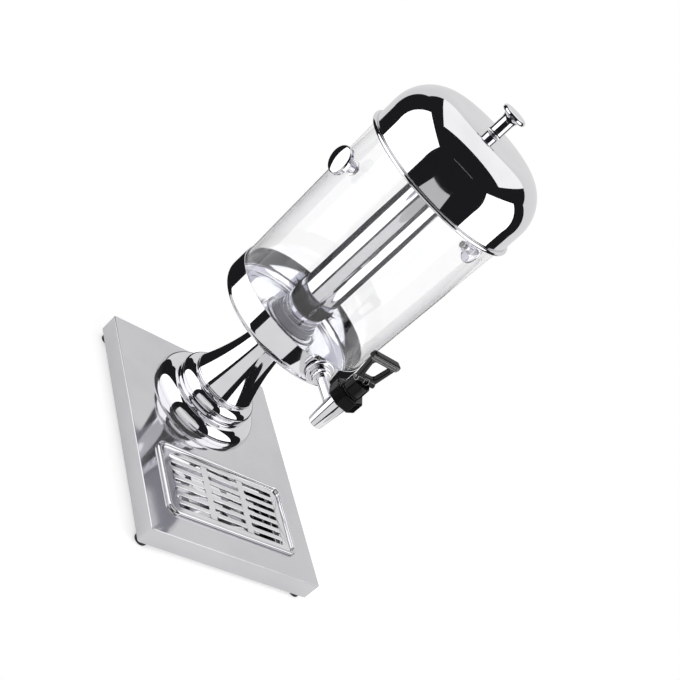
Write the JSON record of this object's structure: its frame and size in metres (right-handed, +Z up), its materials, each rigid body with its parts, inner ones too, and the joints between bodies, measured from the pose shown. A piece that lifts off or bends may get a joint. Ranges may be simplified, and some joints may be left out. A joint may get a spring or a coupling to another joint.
{
  "type": "juice dispenser",
  "caption": "Free-standing juice dispenser: steel base with a drip tray, waisted pedestal, clear tank with an ice tube, domed lid and a pull-handle tap.",
  "frame": {"origin": "on the table, under the middle of the object's bounding box", "axes": "+Z up, -Y towards the user (the tap's side), +X to the right seen from the front"},
  "size_m": [0.26, 0.3576, 0.5682],
  "materials": {
    "polished_steel": "mirror polished",
    "satin_steel": "satin",
    "fixing_steel": "plain",
    "foot_rubber": "matte",
    "black_plastic": "gloss",
    "seal_silicone": "matte",
    "clear_plastic": "clear gloss"
  },
  "bodies": {
    "base": {"base_pan": "satin_steel", "foot_front_left": "foot_rubber", "foot_front_right": "foot_rubber", "foot_back_left": "foot_rubber", "foot_back_right": "foot_rubber", "foot_screws": "fixing_steel", "backing_plate": "fixing_steel", "tie_rod": "fixing_steel", "tie_rod_lower_nut": "fixing_steel", "tie_rod_lower_washer": "fixing_steel", "tie_rod_upper_nut": "fixing_steel", "tie_rod_upper_washer": "fixing_steel", "pedestal_lower_bell": "polished_steel", "pedestal_upper_bell": "polished_steel", "stem_ring": "polished_steel", "stem": "polished_steel", "cup": "polished_steel"},
    "tray": {"drip_tray": "polished_steel"},
    "grille": {"drip_grille": "satin_steel"},
    "tank": {"tank": "clear_plastic", "side_knob_left": "polished_steel", "side_knob_right": "polished_steel", "side_knob_screws": "fixing_steel", "side_knob_seals": "seal_silicone", "ice_tube": "polished_steel", "ice_tube_foot": "foot_rubber", "tap_body": "polished_steel", "tap_flange": "polished_steel", "tap_outer_gasket": "seal_silicone", "tap_inner_gasket": "seal_silicone", "tap_lock_nut": "black_plastic", "bonnet_nut": "black_plastic", "handle_collar": "black_plastic", "return_spring": "fixing_steel"},
    "valve": {"valve_stem": "black_plastic", "valve_plug": "seal_silicone"},
    "handle": {"tap_handle": "black_plastic", "handle_pin": "fixing_steel"},
    "lid": {"lid_dome": "polished_steel", "lid_seat_ring": "polished_steel", "lid_knob": "polished_steel", "lid_knob_screw": "fixing_steel", "lid_knob_washer": "fixing_steel"}
  },
  "joints": [
    {"name": "tank_lift", "type": "slide", "parent": "base", "child": "tank", "axis": [0, 0, 1], "range_m": [0, 0.08]},
    {"name": "lid_lift", "type": "slide", "parent": "tank", "child": "lid", "axis": [0, 0, 1], "range_m": [0, 0.12]},
    {"name": "tray_lift", "type": "slide", "parent": "base", "child": "tray", "axis": [0, 0, 1], "range_m": [0, 0.05]},
    {"name": "grille_lift", "type": "slide", "parent": "tray", "child": "grille", "axis": [0, 0, 1], "range_m": [0, 0.05]},
    {"name": "valve_lift", "type": "slide", "parent": "tank", "child": "valve", "axis": [0, 0, 1], "range_m": [0, 0.0018], "deforming": ["return_spring"]},
    {"name": "tap_pull", "type": "hinge", "parent": "valve", "child": "handle", "pos_m": [0, -0.0898, 0.2668], "axis": [1, 0, 0], "range_deg": [0, 45], "stiffness_Nm_per_rad": 0.3, "springref_deg": -14.32}
  ],
  "couplings": [
    {"joint": "valve_lift", "follows": "tap_pull", "m_per_rad": 0.0021}
  ]
}
